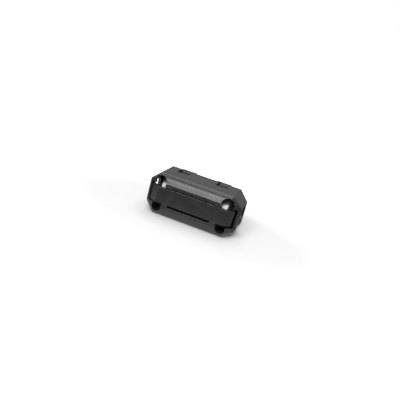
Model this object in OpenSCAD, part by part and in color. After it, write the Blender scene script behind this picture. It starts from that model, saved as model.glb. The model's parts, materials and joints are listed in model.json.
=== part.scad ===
// Clip-on ferrite bead for a round cable, closed.
// The origin is the centre of the cable bore, on the plane where the halves part.
// +X runs along the cable, +Y points to the latch side and +Z is up.

/* [Case] */
// Length of the case along the cable
case_l = 25; // [24:0.5:32]
// Width of the case from the hinge side to the latch side
case_w = 12; // [11.9:0.1:13]
// Height of the closed case
case_h = 11.4; // [11:0.1:12]
// Thickness of the moulded wall
wall_t = 0.9; // [0.8:0.05:1]
// Height of the sharp side edge above the parting plane
edge_z = 3.35; // [3.3:0.05:3.8]
// Tilt of the long corner face from level
corner_tilt = 67; // [60:1:70]
// Radius that blends the upper corner faces into the flat top
top_corner_r = 2.4; // [1.6:0.1:3]
// Radius that blends the lower corner faces into the flat base
base_corner_r = 1.2; // [0.4:0.1:2]

/* [Tapered ends] */
// Length of the taper on the top, the base and the corners
taper_l = 2.8; // [2.4:0.1:3]
// How far the top and the base come in over that length
taper_in = 2.7; // [2:0.1:2.8]
// Length of the taper on the sides
side_taper_l = 3.15; // [2.8:0.05:3.3]
// How far the sides come in over theirs
side_taper_in = 2.5; // [2:0.1:2.8]
// How far the corners come in
taper_corner_in = 2.6; // [2:0.1:3]

/* [Cable entry] */
// Diameter of the bore through the cores
bore_d = 5; // [4:0.1:5.2]
// Clearance all round the cable hole in the end walls
entry_clear = 0.1; // [0.05:0.05:0.2]
// Width of the slots between the entry fingers
finger_slot_w = 0.45; // [0.3:0.05:0.6]
// Depth of the slots between the entry fingers
finger_slot_depth = 0.5; // [0.3:0.05:0.6]
// Slots between the fingers on each half
finger_slots = 3; // [1:1:4]

/* [Ferrite cores] */
// Gap between the pair of cores and the nearest flat wall of the case
core_gap = 0.2; // [0.15:0.05:0.4]
// Gap between each end of the cores and the start of the taper
core_end_gap = 0.3; // [0.1:0.1:1]
// Chamfer on the core ends
core_chamfer = 0.35; // [0.1:0.05:0.5]
// Gap between a core and the ribs that hold it
core_clear = 0.06; // [0.04:0.01:0.1]
// Thickness of the ribs that hold a core
rib_t = 0.5; // [0.4:0.05:0.7]
// Distance of the inner ribs from the middle
rib_inner_x = 1.4; // [1:0.1:1.8]
// Gap between the outer ribs and the passages of the latches
rib_gap = 0.15; // [0.05:0.05:0.3]

/* [Film hinges] */
// Height of each hinge line above or below the parting plane
hinge_z = 2.41; // [2.2:0.01:2.6]
// Thickness of the film
film_t = 0.2; // [0.16:0.02:0.24]
// Width of each of the four film straps
film_w = 1.6; // [1.2:0.1:1.7]
// Height of the slit at the upper shell
slit_top_h = 0.34; // [0.26:0.02:0.36]
// Height of the slit at the lower shell
slit_bottom_h = 0.7; // [0.4:0.02:0.76]
// Gap between a film's rounded end and the shell that turns on it
film_clear = 0.04; // [0.03:0.01:0.05]

/* [Hinge strip] */
// Distance of the strip's folded ends from the ends of the case
strip_inset = 1.4; // [1.2:0.05:1.6]
// Height of the folded end tabs
tab_h = 4.1; // [3.6:0.1:4.2]
// Gap beyond each tab
tab_gap = 0.9; // [0.7:0.05:0.95]

/* [Relief holes] */
// Diameter of the hole at each end of the upper hinge line
top_hole_d = 3.3; // [3:0.02:3.4]
// Distance of the upper holes from the ends of the case
top_hole_inset = 3.4; // [3.2:0.05:3.6]
// Diameter of the hole at each end of the lower hinge line
base_hole_d = 2.66; // [2.4:0.02:2.8]
// Distance of the lower holes from the ends of the case
base_hole_inset = 3.65; // [3.4:0.05:3.8]

/* [Latches] */
// Distance of each latch tongue from the middle
latch_x = 5; // [4.8:0.05:5.1]
// Width of each latch tongue
latch_w = 4.1; // [3.8:0.05:4.2]
// Gap beside and behind a tongue
latch_clear = 0.15; // [0.1:0.01:0.2]
// How far the tongue stands proud of the top edge
latch_proud = 0.2; // [0.1:0.05:0.3]
// Distance of the tongue's rim in from the upright side
latch_rim_inset = 1.55; // [1.45:0.01:1.55]
// How far the nose reaches in from the rim
nose_reach = 0.55; // [0.4:0.01:0.6]
// Height of the nose, from its catch to the top of its slope
nose_h = 0.6; // [0.5:0.05:0.65]
// Gap between the nose and the bar that it catches
catch_clear = 0.06; // [0.04:0.01:0.1]

/* [Windows] */
// How far the middle of each window lies beyond the middle of its tongue
window_shift = 0.4; // [0.2:0.05:0.4]
// Width of each window
window_w = 3.4; // [3:0.1:3.5]
// Near edge of the window, from the middle plane
window_near_y = -0.3; // [-0.5:0.1:1]
// Gap at each side of the nose in its window
nose_clear = 0.25; // [0.2:0.05:0.3]
// Width of the bar under the nose
bar_w = 1.6; // [0.8:0.05:1.7]
// Height of the bar under the nose
bar_h = 0.6; // [0.5:0.05:0.65]
// How far each end of the bar runs on under the top wall
bar_end = 0.5; // [0.4:0.05:0.6]

/* [Hidden] */
$fn = 64;
far = 2 * case_l;
half_w = case_w / 2;
half_h = case_h / 2;
ceiling_z = half_h - wall_t;
taper_x = case_l / 2 - taper_l;
// Length by which a cutting face runs on past the edge that it makes
run_on = 1;
// Least radius inside a corner
least_r = 0.1;
bore_r = bore_d / 2;
core_r = min(half_w, half_h) - wall_t - core_gap;
core_l = 2 * (taper_x - core_end_gap);
entry_r = bore_r + entry_clear;
top_hole_x = case_l / 2 - top_hole_inset;
base_hole_x = case_l / 2 - base_hole_inset;
hinge_y = -(half_w - film_t / 2);
strap_x = min(top_hole_x - top_hole_d / 2, base_hole_x - base_hole_d / 2)
    - film_w / 2;
strip_half_l = case_l / 2 - strip_inset;
bay_half_l = strip_half_l + tab_gap;
bay_near_y = -(entry_r + wall_t / 2);
passage_half_w = latch_w / 2 + latch_clear;
rib_outer_x = latch_x + passage_half_w + rib_gap + rib_t / 2;
window_x = latch_x + window_shift;
latch_rim_y = half_w - latch_rim_inset;
bar_y = latch_rim_y - 2 * latch_clear;
catch_z = ceiling_z + catch_clear;
black_nylon = [0.07, 0.07, 0.075];
ferrite_grey = [0.2, 0.2, 0.21];

// Height of the side edge on an outline that lies inset inside the outer one
function edge_at(inset) = edge_z - inset * (1 - sin(corner_tilt)) / cos(corner_tilt);

// Where the corner face of that outline would meet its flat top
function corner_at(inset) =
    half_w + (edge_z - half_h + inset) * cos(corner_tilt) / sin(corner_tilt)
        - inset / sin(corner_tilt);

// Radius of the arc that blends the two, from the outer one
function blend_at(inset, outer_r) = max(outer_r - inset, least_r);

// Centre of that arc
function arc_at(inset, outer_r) = [
    corner_at(inset) - blend_at(inset, outer_r) * tan(corner_tilt / 2),
    half_h - inset - blend_at(inset, outer_r)
];

// Reach of that outline along a diagonal
function diagonal_at(inset, outer_r) =
    (arc_at(inset, outer_r)[0] + arc_at(inset, outer_r)[1]) / sqrt(2) + blend_at(inset, outer_r);

function turned(points, sy, sz) = [for (p = points) [sy * p[0], sz * p[1]]];

function reversed(points) = [for (i = [len(points) - 1:-1:0]) points[i]];

// Outline across the cable: flat top and bottom, upright sides, and steep
// corner faces that blend into the flats over the given outer radius.
module outline(outer_r, inset = 0) {
    r = blend_at(inset, outer_r);
    centre = arc_at(inset, outer_r);
    quarter = [
        [half_w - inset, edge_at(inset)],
        centre + r * [sin(corner_tilt), cos(corner_tilt)],
        centre + [0, r]
    ];
    polygon(concat(
        quarter,
        turned(reversed(quarter), -1, 1),
        turned(quarter, -1, -1),
        turned(reversed(quarter), 1, -1)
    ));
    for (sy = [-1, 1], sz = [-1, 1])
        translate([sy * centre[0], sz * centre[1]]) circle(r = r);
}

// Gives an outline across the cable a length along it.
module along_cable(length) {
    rotate([90, 0, 90]) linear_extrude(length, center = true) children();
}

// Block whose top and bottom start at the given reach and close in by the given
// drop over the last length before each end.
module tapered_block(reach, drop, length) {
    slope = drop / length;
    inner = [case_l / 2 - length - run_on, reach + run_on * slope];
    outer = [case_l / 2 + run_on, reach - drop - run_on * slope];
    rotate([90, 0, 0]) linear_extrude(far, center = true) polygon([
        outer,
        inner,
        [-inner[0], inner[1]],
        [-outer[0], outer[1]],
        -outer,
        -inner,
        [inner[0], -inner[1]],
        [outer[0], -outer[1]]
    ]);
}

// Body of the closed case, or of the room inside it when inset is the wall.
module case_form(outer_r, inset = 0) {
    reach = diagonal_at(inset, outer_r);
    intersection() {
        along_cable(case_l - 2 * inset) outline(outer_r, inset);
        tapered_block(half_h - inset, taper_in, taper_l);
        rotate([90, 0, 0]) tapered_block(half_w - inset, side_taper_in, side_taper_l);
        rotate([45, 0, 0]) tapered_block(reach, taper_corner_in, taper_l);
        rotate([-45, 0, 0]) tapered_block(reach, taper_corner_in, taper_l);
    }
}

module case_wall(outer_r) {
    difference() {
        case_form(outer_r);
        case_form(outer_r, wall_t);
    }
}

// Box between two corners
module box(low, high) {
    translate(low) cube(high - low);
}

module mirrored(axis) {
    children();
    mirror(axis) children();
}

module at_both_ends() {
    mirrored([1, 0, 0]) children();
}

// Ribs across the upper half that hold a round core in the room.
module core_ribs(outer_r) {
    difference() {
        intersection() {
            case_form(outer_r, wall_t / 2);
            at_both_ends() for (x = [rib_inner_x, rib_outer_x])
                box([x - rib_t / 2, -far, 0], [x + rib_t / 2, far, far]);
        }
        along_cable(far) circle(r = core_r + core_clear);
    }
}

// Cable hole in the end walls, with slots that leave flexible fingers.
module cable_entry() {
    along_cable(far) circle(r = entry_r);
    for (i = [1:finger_slots])
        rotate([i * 180 / (finger_slots + 1) - 90, 0, 0])
            at_both_ends() box(
                [case_l / 2 - 2 * wall_t, -finger_slot_w / 2, 0],
                [case_l, finger_slot_w / 2, entry_r + finger_slot_depth]
            );
}

// Opening on the hinge side of the upper half, up to the edge that faces the strip.
module strip_bay(slit_h, hole_x, hole_d) {
    edge = hinge_z + slit_h / 2;
    box([-bay_half_l, -far, -far], [bay_half_l, bay_near_y, edge]);
    at_both_ends() translate([hole_x, bay_near_y, edge_z])
        rotate([90, 0, 0]) cylinder(h = far, d = hole_d);
}

// One moulded half, drawn as the upper one, without its part of the latches.
module half_shell(slit_h, outer_r, hole_x, hole_d) {
    difference() {
        intersection() {
            union() {
                case_wall(outer_r);
                core_ribs(outer_r);
            }
            box([-far, -far, 0], [far, far, far]);
        }
        cable_entry();
        strip_bay(slit_h, hole_x, hole_d);
    }
}

// Edge of a shell at the film straps, brought down to the rounded ends of the films.
module film_seats(slit_h, outer_r) {
    seat = film_t / 2 + film_clear;
    at_both_ends() intersection() {
        case_wall(outer_r);
        box(
            [strap_x - film_w / 2, -far, hinge_z + seat],
            [strap_x + film_w / 2, bay_near_y, hinge_z + slit_h / 2 + wall_t / 2]
        );
    }
}

// Passage for the latch tongues and the windows that show their noses.
module latch_openings() {
    at_both_ends() {
        box(
            [latch_x - passage_half_w, latch_rim_y - latch_clear, -far],
            [latch_x + passage_half_w, far, far]
        );
        box(
            [window_x - window_w / 2, window_near_y, ceiling_z - bar_h],
            [window_x + window_w / 2, latch_rim_y, far]
        );
    }
}

// Bars under the noses, each hung from the top wall at both sides of its window.
module catch_bars() {
    reach = window_w / 2 + bar_end;
    at_both_ends() difference() {
        box(
            [window_x - reach, bar_y - bar_w, ceiling_z - bar_h],
            [window_x + reach, bar_y, ceiling_z + wall_t / 2]
        );
        box(
            [window_x - window_w / 2, -far, ceiling_z],
            [window_x + window_w / 2, far, far]
        );
    }
}

module upper_shell() {
    color(black_nylon) {
        difference() {
            half_shell(slit_top_h, top_corner_r, top_hole_x, top_hole_d);
            latch_openings();
        }
        film_seats(slit_top_h, top_corner_r);
        catch_bars();
    }
}

// Tongue that rises in the passage as a strip of the case wall, proud at its rim.
module latch_tongue() {
    translate([latch_x, 0, 0]) intersection() {
        along_cable(latch_w) difference() {
            union() {
                outline(top_corner_r);
                translate([0, latch_proud]) outline(top_corner_r);
            }
            outline(top_corner_r, wall_t);
        }
        box([-far, latch_rim_y, -wall_t], [far, far, far]);
    }
}

// Nose on a tongue: a sloped face above, and a level catch below.
module latch_nose() {
    tip_y = latch_rim_y - nose_reach;
    slope_top_y = latch_rim_y - latch_clear / 3;
    translate([window_x, 0, 0]) along_cable(window_w - 2 * nose_clear) polygon([
        [tip_y, catch_z],
        [latch_rim_y + wall_t / 3, catch_z],
        [latch_rim_y + wall_t / 3, catch_z + nose_h],
        [slope_top_y, catch_z + nose_h],
        [tip_y, catch_z + catch_clear]
    ]);
}

module lower_shell() {
    color(black_nylon) {
        mirror([0, 0, 1]) {
            half_shell(slit_bottom_h, base_corner_r, base_hole_x, base_hole_d);
            film_seats(slit_bottom_h, base_corner_r);
        }
        at_both_ends() {
            latch_tongue();
            latch_nose();
        }
    }
}

// Two straps of film along one edge of the strip, with rounded ends on the hinge line.
module film_straps(strip_edge) {
    at_both_ends() translate([strap_x, hinge_y, 0]) {
        translate([0, 0, hinge_z]) along_cable(film_w) circle(d = film_t);
        box(
            [-film_w / 2, -film_t / 2, strip_edge - film_t],
            [film_w / 2, film_t / 2, hinge_z]
        );
    }
}

module hinge_spine() {
    top = hinge_z - slit_top_h / 2;
    bottom = hinge_z - slit_bottom_h / 2;
    panel_half_l = strap_x + film_w / 2;
    color(black_nylon) {
        intersection() {
            case_wall(top_corner_r);
            union() {
                box([-panel_half_l, -far, -bottom], [panel_half_l, bay_near_y, top]);
                box([-strip_half_l, -far, -tab_h / 2], [strip_half_l, bay_near_y, tab_h / 2]);
            }
        }
        film_straps(top);
        mirror([0, 0, 1]) film_straps(bottom);
    }
}

// Half of the ferrite sleeve, drawn as the upper one, with chamfered ends.
module half_core() {
    difference() {
        intersection() {
            rotate([0, 90, 0]) union() {
                cylinder(h = core_l - 2 * core_chamfer, r = core_r, center = true);
                mirrored([0, 0, 1]) translate([0, 0, core_l / 2 - core_chamfer])
                    cylinder(h = core_chamfer, r1 = core_r, r2 = core_r - core_chamfer);
            }
            box([-far, -far, 0], [far, far, far]);
        }
        along_cable(far) circle(r = bore_r);
    }
}

module lower_core() {
    color(ferrite_grey) mirror([0, 0, 1]) half_core();
}

module upper_core() {
    color(ferrite_grey) half_core();
}

lower_shell();
hinge_spine();
upper_shell();
lower_core();
upper_core();
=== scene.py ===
"""Clip-on ferrite bead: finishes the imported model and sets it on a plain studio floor."""

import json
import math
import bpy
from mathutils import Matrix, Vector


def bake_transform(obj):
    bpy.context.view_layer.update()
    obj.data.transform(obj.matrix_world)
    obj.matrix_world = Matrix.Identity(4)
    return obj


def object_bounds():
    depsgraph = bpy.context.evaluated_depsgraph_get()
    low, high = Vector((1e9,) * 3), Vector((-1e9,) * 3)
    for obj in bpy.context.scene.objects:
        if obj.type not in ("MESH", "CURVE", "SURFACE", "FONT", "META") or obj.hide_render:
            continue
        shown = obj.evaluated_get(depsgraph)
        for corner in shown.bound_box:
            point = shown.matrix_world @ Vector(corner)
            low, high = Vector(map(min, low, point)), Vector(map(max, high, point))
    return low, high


bl_info = {
    "name": "Clip-on Ferrite Bead",
    "version": (1, 0, 0),
    "blender": (4, 5, 0),
    "location": "3D View > Sidebar > Ferrite Bead",
    "description": "Builds the finished case, hinge films and ferrite cores of a clip-on bead",
    "category": "Object",
}

import bmesh
import bpy
from bpy.props import FloatProperty, FloatVectorProperty, PointerProperty
from mathutils import Matrix, Vector

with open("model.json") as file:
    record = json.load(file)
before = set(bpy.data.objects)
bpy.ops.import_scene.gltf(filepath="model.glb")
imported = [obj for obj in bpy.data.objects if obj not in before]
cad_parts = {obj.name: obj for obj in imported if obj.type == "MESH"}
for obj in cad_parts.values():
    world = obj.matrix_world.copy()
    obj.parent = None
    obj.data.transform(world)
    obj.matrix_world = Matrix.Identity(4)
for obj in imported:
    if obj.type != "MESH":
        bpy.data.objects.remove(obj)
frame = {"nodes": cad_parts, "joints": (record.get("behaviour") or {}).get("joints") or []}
CAD_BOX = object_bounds()
MM = 0.001
JOINTS = {j["name"]: Vector(j["pos_m"]) for j in frame["joints"]}
FLOOR_HALF = 3.0
LAMP_DISTANCE = 0.5

# Patterns in the nylon: the size of each, its stretch, and the part of the noise that shows
NYLON_CLOUDS = 2.2 * MM
NYLON_CLOUD_SPAN = (0.3, 0.75)
FLOW_MARKS = 1.1 * MM
FLOW_STRETCH = (0.25, 1, 1)
SCUFFS = 0.5 * MM
SCUFF_STRETCH = (1, 5, 5)
SCUFF_SPAN = (0.66, 0.74)
# Part of the edge mask where the edges are painted lighter, partly as wear and partly as a
# painted highlight
WEAR_AND_SHEEN_SPAN = (0.005, 0.06)

# The same in the ferrite, with the depth of its pits and its index of refraction
FERRITE_CLOUDS = 1.4 * MM
FERRITE_CLOUD_SPAN = (0.3, 0.7)
PITS = 0.16 * MM
PIT_SPAN = (0.25, 0.4)
PIT_DEPTH = 0.004 * MM
FERRITE_IOR = 2.0

# Rows of faces across a film, and the angle and the rounding of its rims
FILM_CUTS = 11
RIM_ANGLE = math.radians(60)
RIM_ROUNDING = 0.02 * MM

# The floor's own tone, and the painted glow round the bead that only reflections see, white near
# the bead and grey beyond
FLOOR_TONES = 40 * MM
GLOW_STRETCH = (0.55, 1, 1)
GLOW_SPAN = (9 * MM, 20 * MM)
GLOW_BEYOND_BEAD = (0.2, 0.2, 0.2)

# Lights: azimuth and elevation in degrees, the front box's width to its height, and the
# light that reflections see in the room beyond its own
FRONT_PLACE = (-2, 40)
FRONT_ASPECT = 1.3
TOP_PLACE = (180, 74)
ROOM_IN_REFLECTIONS = 0.2
BLACK, WHITE = (0, 0, 0), (1, 1, 1)


# Settings ---------------------------------------------------------------------------


class NylonSettings(bpy.types.PropertyGroup):
    colour: FloatVectorProperty(
        name="Colour",
        description="Colour of the moulded nylon",
        subtype="COLOR",
        size=3,
        min=0,
        max=1,
        default=(0.011, 0.011, 0.0114),
    )
    roughness: FloatProperty(
        name="Roughness",
        description="Roughness of the satin moulded surface",
        min=0.05,
        max=1,
        default=0.36,
        subtype="FACTOR",
    )
    grain: FloatProperty(
        name="Grain size",
        description="Size of the fine texture that the mould leaves",
        default=0.16 * MM,
        min=0.02 * MM,
        max=1 * MM,
        unit="LENGTH",
    )
    grain_depth: FloatProperty(
        name="Grain depth",
        description="Depth of the fine texture",
        default=0.008 * MM,
        min=0,
        max=0.05 * MM,
        unit="LENGTH",
    )
    edge_radius: FloatProperty(
        name="Edge radius",
        description="Rounding of the outer edges of the mouldings",
        default=0.14 * MM,
        min=0.01 * MM,
        max=0.2 * MM,
        unit="LENGTH",
    )


class FilmSettings(bpy.types.PropertyGroup):
    place: FloatProperty(
        name="Place",
        description="Distance of each film from the middle of the bead",
        default=6.65 * MM,
        unit="LENGTH",
    )
    width: FloatProperty(
        name="Width",
        description="Width of each film along the cable",
        default=1.62 * MM,
        min=0.1 * MM,
        unit="LENGTH",
    )
    height: FloatProperty(
        name="Height",
        description="Height of the film over the seam",
        default=0.7 * MM,
        min=0.1 * MM,
        unit="LENGTH",
    )
    thickness: FloatProperty(
        name="Thickness",
        description="Thickness of the film at its two edges",
        default=0.25 * MM,
        min=0.05 * MM,
        unit="LENGTH",
    )
    groove: FloatProperty(
        name="Groove",
        description="How much thinner the film is in the middle, as a share of its thickness",
        default=0.1,
        min=0,
        max=0.9,
        subtype="FACTOR",
    )
    bend: FloatProperty(
        name="Bend",
        description="Height of the zone that bends",
        default=0.5 * MM,
        min=0.05 * MM,
        unit="LENGTH",
    )


class FerriteSettings(bpy.types.PropertyGroup):
    colour: FloatVectorProperty(
        name="Colour",
        description="Colour of the sintered ferrite",
        subtype="COLOR",
        size=3,
        min=0,
        max=1,
        default=(0.03, 0.03, 0.031),
    )
    roughness: FloatProperty(
        name="Roughness",
        description="Roughness of the tumbled surface",
        min=0.05,
        max=1,
        default=0.34,
        subtype="FACTOR",
    )


class StageSettings(bpy.types.PropertyGroup):
    azimuth: FloatProperty(
        name="Azimuth",
        description="Turn of the camera round the bead, from the hinge side",
        default=math.radians(12.42),
        subtype="ANGLE",
        unit="ROTATION",
    )
    elevation: FloatProperty(
        name="Elevation",
        description="Height of the camera above the horizon",
        default=math.radians(18.65),
        subtype="ANGLE",
        unit="ROTATION",
    )
    roll: FloatProperty(
        name="Roll",
        description="Clockwise turn of the picture",
        default=math.radians(15.61),
        subtype="ANGLE",
        unit="ROTATION",
    )
    distance: FloatProperty(
        name="Distance",
        description="Distance from the camera to the bead",
        default=131.9 * MM,
        min=50 * MM,
        unit="LENGTH",
    )
    lens: FloatProperty(
        name="Lens",
        description="Focal length on a 36 mm wide sensor",
        default=45.0,
        min=10,
        subtype="DISTANCE_CAMERA",
    )
    aside: FloatProperty(
        name="Aside",
        description="How far right of the picture's middle the bead's centre lies",
        default=-0.786 * MM,
        unit="LENGTH",
    )
    lift: FloatProperty(
        name="Lift",
        description="How far above the picture's middle the bead's centre lies",
        default=-0.053 * MM,
        unit="LENGTH",
    )
    front_light: FloatProperty(
        name="Front light",
        description="Brightness of the soft box in front of the bead",
        default=9.0,
        min=0,
    )
    top_light: FloatProperty(
        name="Top light",
        description="Brightness of the soft box above the bead",
        default=2.8,
        min=0,
    )
    front_width: FloatProperty(
        name="Front box width",
        description="Width and height of the soft box in front",
        default=0.3,
        min=0.05,
        unit="LENGTH",
    )
    top_width: FloatProperty(
        name="Top box width",
        description="Width and depth of the soft box above",
        default=0.4,
        min=0.05,
        unit="LENGTH",
    )
    room_light: FloatProperty(
        name="Room light",
        description="Brightness of the room",
        default=0.3,
        min=0,
    )
    shadow_reach: FloatProperty(
        name="Shadow reach",
        description="Distance from the bead beyond which the floor is plain white",
        default=40 * MM,
        min=10 * MM,
        unit="LENGTH",
    )
    floor_colour: FloatVectorProperty(
        name="Floor colour",
        description="Colour of the pale floor",
        subtype="COLOR",
        size=3,
        min=0,
        max=1,
        default=(0.64, 0.64, 0.64),
    )


# Shader building ----------------------------------------------------------------------


class Value:
    """An output of a shader node. Plain arithmetic on it adds Math nodes."""

    def __init__(self, shader, socket):
        self.shader = shader
        self.socket = socket

    def _math(self, operation, a, b):
        return self.shader.node("ShaderNodeMath", {"operation": operation}, {0: a, 1: b})["Value"]

    def __add__(self, other):
        return self._math("ADD", self, other)

    def __radd__(self, other):
        return self._math("ADD", other, self)

    def __sub__(self, other):
        return self._math("SUBTRACT", self, other)

    def __rsub__(self, other):
        return self._math("SUBTRACT", other, self)

    def __mul__(self, other):
        return self._math("MULTIPLY", self, other)

    def __rmul__(self, other):
        return self._math("MULTIPLY", other, self)

    def larger(self, other):
        return self._math("MAXIMUM", self, other)

    def between(self, low, high):
        """0 below low, 1 above high, and smooth between them."""
        settings = {"interpolation_type": "SMOOTHSTEP"}
        values = {"Value": self, "From Min": low, "From Max": high}
        return self.shader.node("ShaderNodeMapRange", settings, values)["Result"]


class Outputs:
    """The outputs of one node, by name."""

    def __init__(self, shader, node):
        self.shader = shader
        self.node = node

    def __getitem__(self, name):
        found = [s for s in self.node.outputs if s.name == name and s.enabled]
        if not found:
            raise KeyError(f"{self.node.bl_idname} has no output named {name}")
        return Value(self.shader, found[0])


class Shader:
    """A material's node tree, emptied and ready to be filled."""

    def __init__(self, name, owner=None):
        self.material = owner or bpy.data.materials.new(name)
        self.material.use_nodes = True
        self.tree = self.material.node_tree
        self.tree.nodes.clear()

    def node(self, kind, settings=None, values=None):
        """Adds a node. Its settings come first, then the values or links of its inputs."""
        made = self.tree.nodes.new(kind)
        for key, value in (settings or {}).items():
            setattr(made, key, value)
        for key, value in (values or {}).items():
            target = self._input(made, key)
            if isinstance(value, Value):
                self.tree.links.new(value.socket, target)
            elif target.type == "RGBA" and len(value) == 3:
                target.default_value = (*value, 1)
            else:
                target.default_value = value
        return Outputs(self, made)

    @staticmethod
    def _input(made, key):
        if isinstance(key, int):
            return made.inputs[key]
        found = [s for s in made.inputs if s.name == key and s.enabled]
        if not found:
            raise KeyError(f"{made.bl_idname} has no input named {key}")
        return found[0]

    def place(self, stretch=(1, 1, 1)):
        """Points of the piece in its own coordinates, stretched along each axis."""
        point = self.node("ShaderNodeTexCoord")["Object"]
        return self.node("ShaderNodeMapping", None, {"Vector": point, "Scale": stretch})["Vector"]

    def noise(self, size, detail=2.0, rough=0.5, stretch=(1, 1, 1)):
        """Cloudy pattern whose blotches are about the given size."""
        values = {
            "Vector": self.place(stretch),
            "Scale": 1 / size,
            "Detail": detail,
            "Roughness": rough,
        }
        return self.node("ShaderNodeTexNoise", {"noise_dimensions": "3D"}, values)["Fac"]

    def mix(self, factor, a, b):
        settings = {"data_type": "RGBA", "blend_type": "MIX"}
        return self.node("ShaderNodeMix", settings, {"Factor": factor, "A": a, "B": b})["Result"]

    def bump(self, height, depth, under=None):
        """Normal of a surface raised by height times depth."""
        values = {"Height": height, "Distance": depth, "Strength": 1.0}
        if under is not None:
            values["Normal"] = under
        return self.node("ShaderNodeBump", None, values)["Normal"]

    def rounded(self, radius):
        """Normal of the surface with its edges rounded."""
        return self.node("ShaderNodeBevel", {"samples": 6}, {"Radius": radius})["Normal"]

    def edges(self, rounded):
        """0 on flat faces and up to 1 on the edges that the rounded normal smooths."""
        plain = self.node("ShaderNodeNewGeometry")["Normal"]
        settings = {"operation": "DOT_PRODUCT"}
        return 1 - self.node("ShaderNodeVectorMath", settings, {0: rounded, 1: plain})["Value"]

    def surface(self, **values):
        names = {key.replace("_", " "): value for key, value in values.items()}
        shader = self.node("ShaderNodeBsdfPrincipled", None, names)["BSDF"]
        self.node("ShaderNodeOutputMaterial", None, {"Surface": shader})
        return self.material


def moulded_nylon(settings):
    """Satin black nylon with the fine texture of the mould, faint flow marks, scuffs, and lighter
    edges that are partly wear and partly a painted highlight.
    """
    shader = Shader("moulded_nylon")
    colour = tuple(settings.colour)
    clouds = shader.noise(NYLON_CLOUDS, 3)
    flow = shader.noise(FLOW_MARKS, 2, stretch=FLOW_STRETCH)
    scuffs = shader.noise(SCUFFS, 3, 0.6, stretch=SCUFF_STRETCH).between(*SCUFF_SPAN)
    grain = shader.noise(settings.grain, 2, 0.6)
    pale = tuple(c * 1.5 + 0.004 for c in colour)
    base = shader.mix(clouds.between(*NYLON_CLOUD_SPAN) * 0.5 + scuffs * 0.35, colour, pale)
    rough = settings.roughness + (clouds - 0.5) * 0.12 + (flow - 0.5) * 0.1 + scuffs * 0.08
    rounded = shader.rounded(settings.edge_radius)
    # Rounded edges get a lighter colour: partly wear, partly a painted highlight along the edges.
    wear_and_sheen = shader.edges(rounded).between(*WEAR_AND_SHEEN_SPAN)
    worn_and_highlit = tuple(c * 3 + 0.022 for c in colour)
    base = shader.mix(wear_and_sheen * (0.4 + 0.6 * clouds), base, worn_and_highlit)
    rough = rough - 0.07 * wear_and_sheen
    normal = shader.bump(grain, settings.grain_depth, rounded)
    return shader.surface(Base_Color=base, Roughness=rough, Normal=normal)


def sintered_ferrite(settings):
    """Smooth dark grey ceramic with fine pits and cloudy tone."""
    shader = Shader("sintered_ferrite")
    colour = tuple(settings.colour)
    clouds = shader.noise(FERRITE_CLOUDS, 3)
    pits = shader.noise(PITS, 2).between(*PIT_SPAN)
    pale = tuple(c * 1.7 for c in colour)
    base = shader.mix(clouds.between(*FERRITE_CLOUD_SPAN), colour, pale)
    rough = settings.roughness + (clouds - 0.5) * 0.12 + (1 - pits) * 0.25
    normal = shader.bump(pits, PIT_DEPTH)
    return shader.surface(Base_Color=base, Roughness=rough, IOR=FERRITE_IOR, Normal=normal)


def finish_of(name, make, settings):
    """The material of that name, made the first time that it is asked for."""
    return bpy.data.materials.get(name) or make(settings)


def give_finish(piece, material):
    piece.data.materials.clear()
    piece.data.materials.append(material)


def add_object(made, name):
    """Object at the origin that holds the finished mesh."""
    mesh = bpy.data.meshes.new(name)
    made.to_mesh(mesh)
    made.free()
    added = bpy.data.objects.new(name, mesh)
    bpy.context.scene.collection.objects.link(added)
    return added


# Operators ----------------------------------------------------------------------------


class FERRITE_BEAD_OT_case(bpy.types.Operator):
    """Finish the two halves of the case and the hinge strip between them"""

    bl_idname = "ferrite_bead.case"
    bl_label = "Case"

    def execute(self, context):
        nylon = finish_of("moulded_nylon", moulded_nylon, context.scene.bead_nylon)
        for node in ("lower_shell", "hinge_spine", "upper_shell"):
            give_finish(frame["nodes"][node], nylon)
        return {"FINISHED"}


class FERRITE_BEAD_OT_films(bpy.types.Operator):
    """Lay the four bending films over the seams where the strip meets the two halves"""

    bl_idname = "ferrite_bead.films"
    bl_label = "Hinge films"

    def execute(self, context):
        settings = context.scene.bead_films
        nylon = finish_of("moulded_nylon", moulded_nylon, context.scene.bead_nylon)
        seams = (("upper", "lid_hinge", "upper_half"), ("lower", "strip_hinge", "lower_half"))
        for level, joint, half in seams:
            line = JOINTS[joint]
            for end, side in (("left", -1), ("right", 1)):
                middle = line + Vector((side * settings.place, 0, 0))
                film = self.make_film(f"{level}_film_{end}", middle, settings)
                give_finish(film, nylon)
                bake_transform(film)
        return {"FINISHED"}

    def make_film(self, name, middle, settings):
        """Strap of film with a thinner groove across its middle."""
        made = bmesh.new()
        bmesh.ops.create_cube(made, size=1)
        bmesh.ops.scale(
            made, vec=(settings.width, settings.thickness, settings.height), verts=made.verts
        )
        upright = [e for e in made.edges if e.verts[0].co.z * e.verts[1].co.z < 0]
        bmesh.ops.subdivide_edges(made, edges=upright, cuts=FILM_CUTS, use_grid_fill=True)
        for vert in made.verts:
            groove = 1 - min(1, abs(vert.co.z) / (0.5 * settings.height)) ** 2
            vert.co.y *= 1 - settings.groove * groove
        rims = [e for e in made.edges if e.calc_face_angle(0) > RIM_ANGLE]
        bmesh.ops.bevel(
            made, geom=rims, offset=RIM_ROUNDING, offset_type="OFFSET", segments=2,
            profile=0.5, affect="EDGES", clamp_overlap=True, material=-1,
        )
        bmesh.ops.translate(made, vec=middle, verts=made.verts)
        return add_object(made, name)


class FERRITE_BEAD_OT_cores(bpy.types.Operator):
    """Finish the two ferrite half-cores"""

    bl_idname = "ferrite_bead.cores"
    bl_label = "Ferrite cores"

    def execute(self, context):
        ferrite = finish_of("sintered_ferrite", sintered_ferrite, context.scene.bead_ferrite)
        for node in ("lower_core", "upper_core"):
            give_finish(frame["nodes"][node], ferrite)
        return {"FINISHED"}


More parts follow.
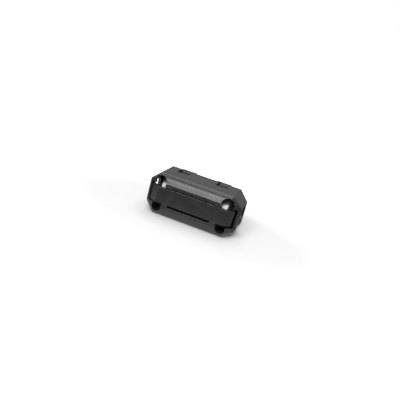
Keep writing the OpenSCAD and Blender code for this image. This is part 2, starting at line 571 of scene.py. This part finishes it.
def soft_box(name, direction, size, brightness):
    """Rectangular area light that sends the given brightness towards the bead."""
    data = bpy.data.lights.new(name, "AREA")
    data.shape = "RECTANGLE"
    data.size, data.size_y = size
    data.energy = brightness * size[0] * size[1] * math.pi
    lamp = bpy.data.objects.new(name, data)
    bpy.context.scene.collection.objects.link(lamp)
    lamp.location = direction * LAMP_DISTANCE
    lamp.rotation_mode = "QUATERNION"
    lamp.rotation_quaternion = direction.to_track_quat("Z", "Y")


def direction_of(azimuth, elevation):
    """Direction from the bead: azimuth 0 is the hinge side and 90 the +X end."""
    a, e = math.radians(azimuth), math.radians(elevation)
    return Vector((math.sin(a) * math.cos(e), -math.cos(a) * math.cos(e), math.sin(e)))


class FERRITE_BEAD_OT_stage(bpy.types.Operator):
    """Make the floor, the lights, the room and the camera"""

    bl_idname = "ferrite_bead.stage"
    bl_label = "Stage"

    def execute(self, context):
        settings = context.scene.bead_stage
        self.make_floor(settings)
        self.make_room(context, settings)
        self.make_lights(settings)
        self.make_camera(context, settings)
        context.scene.view_settings.view_transform = "Standard"
        return {"FINISHED"}

    def make_floor(self, settings):
        under = Matrix.Translation((0, 0, CAD_BOX[0].z))
        made = bmesh.new()
        bmesh.ops.create_grid(made, x_segments=2, y_segments=2, size=FLOOR_HALF, matrix=under)
        floor = add_object(made, "floor")
        shader = Shader("floor_paint")
        path = shader.node("ShaderNodeLightPath")
        # Reflections don't see the lit floor: they see a painted glow, white near the bead and
        # grey further out, which brightens the bead's lower faces.
        mirrored = path["Is Glossy Ray"].larger(path["Is Transmission Ray"])
        pale = tuple(settings.floor_colour)
        paler = tuple(min(1, c * 1.03) for c in pale)
        tone = shader.mix(shader.noise(FLOOR_TONES, 2), pale, paler)
        spot = shader.place(GLOW_STRETCH)
        away = shader.node("ShaderNodeVectorMath", {"operation": "LENGTH"}, {0: spot})["Value"]
        painted_glow = shader.mix(away.between(*GLOW_SPAN), WHITE, GLOW_BEYOND_BEAD)
        far = away.between(0.4 * settings.shadow_reach, settings.shadow_reach)
        plain = shader.mix(far * path["Is Camera Ray"], BLACK, WHITE)
        # For reflections the floor's base colour is black, so they show only the painted glow.
        give_finish(floor, shader.surface(
            Base_Color=shader.mix(mirrored, tone, BLACK), Roughness=0.7, Specular_IOR_Level=0.0,
            Emission_Color=shader.mix(mirrored, plain, painted_glow), Emission_Strength=1.0,
        ))

    def make_room(self, context, settings):
        world = bpy.data.worlds.new("room")
        context.scene.world = world
        shader = Shader("room", world)
        path = shader.node("ShaderNodeLightPath")
        seen = path["Is Camera Ray"].larger(path["Is Transmission Ray"])
        strength = settings.room_light + path["Is Glossy Ray"] * ROOM_IN_REFLECTIONS
        room = shader.node("ShaderNodeBackground", None, {"Color": WHITE, "Strength": strength})
        white = shader.node("ShaderNodeBackground", None, {"Color": WHITE, "Strength": 1.0})
        parts = {0: seen, 1: room["Background"], 2: white["Background"]}
        both = shader.node("ShaderNodeMixShader", None, parts)
        shader.node("ShaderNodeOutputWorld", None, {"Surface": both["Shader"]})

    def make_lights(self, settings):
        front, top = settings.front_width, settings.top_width
        front_size = (FRONT_ASPECT * front, front)
        soft_box("front_soft_box", direction_of(*FRONT_PLACE), front_size, settings.front_light)
        soft_box("top_soft_box", direction_of(*TOP_PLACE), (top, top), settings.top_light)

    def make_camera(self, context, settings):
        az, el, roll = settings.azimuth, settings.elevation, settings.roll
        back = Vector((math.sin(az) * math.cos(el), -math.cos(az) * math.cos(el), math.sin(el)))
        right = Vector((math.cos(az), math.sin(az), 0))
        up = back.cross(right)
        across = math.cos(roll) * right + math.sin(roll) * up
        upward = -math.sin(roll) * right + math.cos(roll) * up
        data = bpy.data.cameras.new("camera")
        data.sensor_width = 36
        data.lens = settings.lens
        data.clip_start, data.clip_end = 0.01, 20
        camera = bpy.data.objects.new("camera", data)
        context.scene.collection.objects.link(camera)
        turn = Matrix((across, upward, back)).transposed()
        place = settings.distance * back - settings.aside * across - settings.lift * upward
        camera.matrix_world = Matrix.Translation(place) @ turn.to_4x4()
        context.scene.camera = camera


class FERRITE_BEAD_PT_panel(bpy.types.Panel):
    """Settings and buttons of the bead's pieces and of its stage"""

    bl_idname = "FERRITE_BEAD_PT_panel"
    bl_label = "Ferrite Bead"
    bl_space_type = "VIEW_3D"
    bl_region_type = "UI"
    bl_category = "Ferrite Bead"

    def draw(self, context):
        layout = self.layout
        for group, operators in PANEL_ROWS:
            settings = getattr(context.scene, group)
            box = layout.box()
            for name in settings.__annotations__:
                box.prop(settings, name)
            for operator in operators:
                box.operator(operator)


SETTINGS = {
    "bead_nylon": NylonSettings,
    "bead_films": FilmSettings,
    "bead_ferrite": FerriteSettings,
    "bead_stage": StageSettings,
}
PANEL_ROWS = (
    ("bead_nylon", ("ferrite_bead.case",)),
    ("bead_films", ("ferrite_bead.films",)),
    ("bead_ferrite", ("ferrite_bead.cores",)),
    ("bead_stage", ("ferrite_bead.stage",)),
)
CLASSES = (
    *SETTINGS.values(),
    FERRITE_BEAD_OT_case,
    FERRITE_BEAD_OT_films,
    FERRITE_BEAD_OT_cores,
    FERRITE_BEAD_OT_stage,
    FERRITE_BEAD_PT_panel,
)


def register():
    for cls in CLASSES:
        bpy.utils.register_class(cls)
    for name, cls in SETTINGS.items():
        setattr(bpy.types.Scene, name, PointerProperty(type=cls))


def unregister():
    for name in SETTINGS:
        delattr(bpy.types.Scene, name)
    for cls in reversed(CLASSES):
        bpy.utils.unregister_class(cls)


def main():
    register()
    bpy.ops.ferrite_bead.stage()
    bpy.ops.ferrite_bead.case()
    bpy.ops.ferrite_bead.films()
    bpy.ops.ferrite_bead.cores()


if __name__ == "__main__":
    main()
